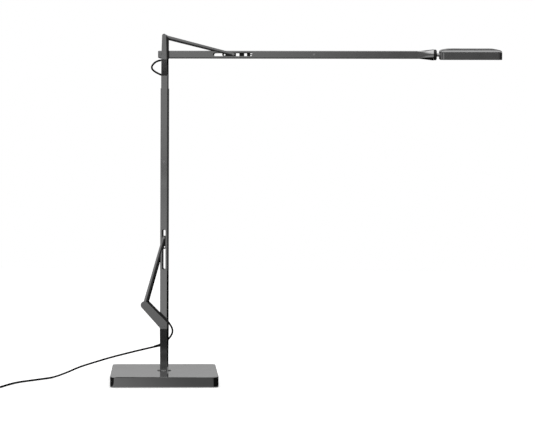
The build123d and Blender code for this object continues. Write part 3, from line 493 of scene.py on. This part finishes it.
cord_route = [
    (-0.0163, 0.0, 0.0514), (-0.031, 0.0014, 0.0479), (-0.056, 0.0057, 0.0413),
    (-0.0847, 0.0085, 0.0336), (-0.1082, 0.0118, 0.026), (-0.1318, 0.0152, 0.0184),
    (-0.15, 0.0181, 0.0099), (-0.1719, 0.0207, 0.0014), (-0.1845, -0.0012, 0.0014),
    (-0.1967, -0.0224, 0.0014), (-0.2155, -0.053, 0.0014), (-0.2235, -0.0879, 0.0014),
    (-0.2284, -0.12, 0.0014),
]
lies_still_from = (-0.085, 0.0085, 0.0336)
coil_x, coil_y = -0.2562, -0.1449
coil_radius = 0.0208
turns_per_layer = 4
points_per_turn = 14
points_across = 3
first_angle = math.radians(-14.2)
looseness = 1.025
inward = [coil_radius - 2 * cable_radius * turn for turn in range(turns_per_layer)]
turn_radii = inward + inward[::-1] + inward + inward[1::-1]
turn_heights = [cable_radius * (1 + 2 * (turn // turns_per_layer)) for turn in range(len(turn_radii))]
last_turn = len(turn_radii) - 1
last_step = round((last_turn + (math.pi + first_angle) / math.tau) * points_per_turn)
for step in range(last_step + 1):
    turn, part = divmod(step, points_per_turn)
    share = max(0.0, (part - points_per_turn + points_across) / points_across)
    following = min(turn + 1, last_turn)
    radius = turn_radii[turn] + (turn_radii[following] - turn_radii[turn]) * share
    height = turn_heights[turn] + (turn_heights[following] - turn_heights[turn]) * share
    angle = first_angle - step * math.tau / points_per_turn
    out = radius * looseness
    cord_route.append((coil_x + out * math.cos(angle), coil_y + out * math.sin(angle), height))
tail_x = coil_x - coil_radius
tail_height = turn_heights[-1]
for ahead in (0.006, 0.016, 0.037):
    cord_route.append((tail_x, coil_y + ahead, tail_height))
supply_cord, cord_path = cable(
    "supply_cord", cord_route, ("post", "base"), "cord_tube", "cord_coil", "cord_tail",
    bends_to=lies_still_from,
)


def rings_mesh(name, rings, finish, body, crease=35.0):
    """A closed skin over a stack of rings of points, with a flat cap at each end."""
    shape = bmesh.new()
    rows = [[shape.verts.new(place) for place in ring] for ring in rings]
    for lower, upper in zip(rows, rows[1:]):
        for i in range(len(lower)):
            j = (i + 1) % len(lower)
            shape.faces.new((lower[i], lower[j], upper[j], upper[i]))
    shape.faces.new(rows[0][::-1])
    shape.faces.new(rows[-1])
    bmesh.ops.recalc_face_normals(shape, faces=shape.faces)
    mesh = bpy.data.meshes.new(name)
    shape.to_mesh(mesh)
    mesh.shade_smooth()
    mesh.set_sharp_from_angle(angle=math.radians(crease))
    mesh.materials.append(finish)
    made = new_object(name, mesh)
    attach(made, body)
    return made


def sleeve(name, start, along, profile, body):
    """A rubber sleeve round a straight line. profile lists the radius at each distance along it."""
    along = Vector(along).normalized()
    turn = along.to_track_quat("Z", "Y")
    points_round = 32
    rings = []
    for distance, radius in profile:
        ring = []
        for i in range(points_round):
            angle = math.tau * i / points_round
            rim = turn @ Vector((radius * math.cos(angle), radius * math.sin(angle), 0.0))
            ring.append(tuple(Vector(start) + along * distance + rim))
        rings.append(ring)
    return rings_mesh(name, rings, soft_rubber, body)


def ribs(first, last, wide, narrow, count, groove):
    """The profile of a taper from wide to narrow, with grooves that let it bend."""
    profile = []
    pitch = (last - first) / count
    for i in range(count):
        radius = wide + (narrow - wide) * i / (count - 1)
        at = first + i * pitch
        profile += [(at, radius - groove), (at + pitch * 0.1, radius), (at + pitch * 0.6, radius)]
        profile += [(at + pitch * 0.7, radius - groove)]
    return profile


relief_start = (-0.0054, 0.0, 0.0546)
relief_dip = math.radians(15.6)
relief_along = (-math.cos(relief_dip), 0.0, -math.sin(relief_dip))
relief_profile = [
    (-0.0031, cable_radius), (-0.0031, 0.0032), (-0.0021, 0.0034), (-0.0021, 0.0024), (0.0011, 0.0024),
    (0.0013, 0.0022), *ribs(0.0016, 0.0108, 0.0022, 0.0018, 6, 0.0002), (0.011, cable_radius),
]
cord_sleeve = sleeve("cord_sleeve", relief_start, relief_along, relief_profile, "post")
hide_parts("cord_relief")


def coil_strap():
    """A flat rubber strap round all the turns at one side of the coil."""
    angle = math.radians(75)
    outward = Vector((math.cos(angle), math.sin(angle), 0.0))
    across = Vector((-outward.y, outward.x, 0.0))
    inner, outer, top = 0.0112, 0.0228, 0.0113
    thick, half_wide, corner = 0.0006, 0.0026, 0.0016
    points_per_corner = 5
    line = []
    for quarter, (out, up) in enumerate(((1, 1), (-1, 1), (-1, -1), (1, -1))):
        corner_out = (outer if out > 0 else inner) - out * corner
        corner_up = (top if up > 0 else thick) - up * corner
        for i in range(points_per_corner):
            turn = math.radians(90 * (quarter + i / (points_per_corner - 1)))
            line.append((corner_out + corner * math.cos(turn), corner_up + corner * math.sin(turn), turn))
    rings = []
    for out, height, turn in line + line[:1]:
        ring = []
        for aside, lift in ((-half_wide, 0), (half_wide, 0), (half_wide, thick), (-half_wide, thick)):
            spot = Vector((coil_x, coil_y, 0.0)) + outward * (out + lift * math.cos(turn)) + across * aside
            ring.append((spot.x, spot.y, max(0.0, height + lift * math.sin(turn))))
        rings.append(ring)
    return rings_mesh("coil_strap", rings, soft_rubber, "base")


strap = coil_strap()


# ---- Plug-in supply ----
# The supply is a two-part black case joined round its middle, with grip ribs on its sides.
# A ribbed sleeve holds the cord at one end, and two sleeved pins stand out of the other.

case_low, case_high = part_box("adapter_case")
case_middle = (case_low + case_high) / 2
case_wall_inset = 0.0005
case_corner = 0.0045
case_steps = [
    (0.0022, 0.0), (0.0009, 0.0006), (0.0002, 0.0018), (0.0, 0.003), (0.0, 0.0136), (0.0005, 0.0138),
    (0.0005, 0.0142), (0.0, 0.0144), (0.0, 0.025), (0.0002, 0.0262), (0.0009, 0.0274), (0.0022, 0.028),
]


def case_outline(inset, height):
    """A rounded rectangle round the case at this height, this far inside its widest line."""
    half_wide = case_high.x - case_middle.x - case_wall_inset - inset
    half_long = case_high.y - case_middle.y - inset
    corner = case_corner - inset
    points_per_corner = 7
    ring = []
    for quarter, (sx, sy) in enumerate(((1, 1), (-1, 1), (-1, -1), (1, -1))):
        for i in range(points_per_corner):
            turn = math.radians(90 * (quarter + i / (points_per_corner - 1)))
            x = case_middle.x + sx * (half_wide - corner) + corner * math.cos(turn)
            y = case_middle.y + sy * (half_long - corner) + corner * math.sin(turn)
            ring.append((x, y, height))
    return ring


case_rings = [case_outline(inset, height) for inset, height in case_steps]
supply_case = rings_mesh("supply_case", case_rings, black_plastic, "base", crease=30.0)
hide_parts("adapter_case")


def grip_ribs():
    """Upright ribs on each long side of the case, as one mesh. They stand out as far as its box."""
    count, pitch = 7, 0.0034
    deep, wide, tall = 0.0014, 0.0016, 0.0145
    shape = bmesh.new()
    for sx in (-1, 1):
        x = case_middle.x + sx * (case_high.x - case_middle.x - deep / 2)
        for i in range(count):
            y = case_middle.y + (i - (count - 1) / 2) * pitch
            made = bmesh.ops.create_cube(shape, size=1.0)["verts"]
            bmesh.ops.scale(shape, verts=made, vec=(deep, wide, tall))
            bmesh.ops.translate(shape, verts=made, vec=(x, y, case_middle.z))
    bmesh.ops.bevel(shape, geom=shape.edges[:], offset=0.0003, segments=3, affect="EDGES")
    mesh = bpy.data.meshes.new("grip_ribs")
    shape.to_mesh(mesh)
    mesh.shade_smooth()
    mesh.materials.append(black_plastic)
    made = new_object("grip_ribs", mesh)
    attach(made, "base")
    return made


grips = grip_ribs()
sleeve_start = (tail_x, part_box("adapter_relief")[1].y, tail_height)
sleeve_profile = [(0.0, 0.0033), *ribs(0.0002, 0.0116, 0.0033, 0.002, 7, 0.0003), (0.012, cable_radius)]
supply_sleeve = sleeve("supply_sleeve", sleeve_start, (0.0, -1.0, 0.0), sleeve_profile, "base")
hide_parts("adapter_relief")

brass = (1.0, 0.84, 0.5)
sheath_long = 0.0095
brass_prong, tint = new_finish("brass_prong")
along = tint.node("SeparateXYZ", sockets={0: tint.node("TexCoord", out="Object")}, out="Y") - case_high.y
sheath = 1 - along.between(sheath_long - 0.0001, sheath_long + 0.0001)
fine = grain(tint, 0.0005)
turned = grain(tint, 0.004, stretch=(1.0, 8.0, 1.0))
bare_pin = turned.blend(toned(0.62, brass), toned(0.72, brass))
pin_tone = sheath.blend(bare_pin, grey(0.01))
finish_off(brass_prong, tint, pin_tone, 0.2 + 0.2 * sheath, 1 - sheath, fine, 0.00001)
dress(brass_prong, "adapter_prongs")
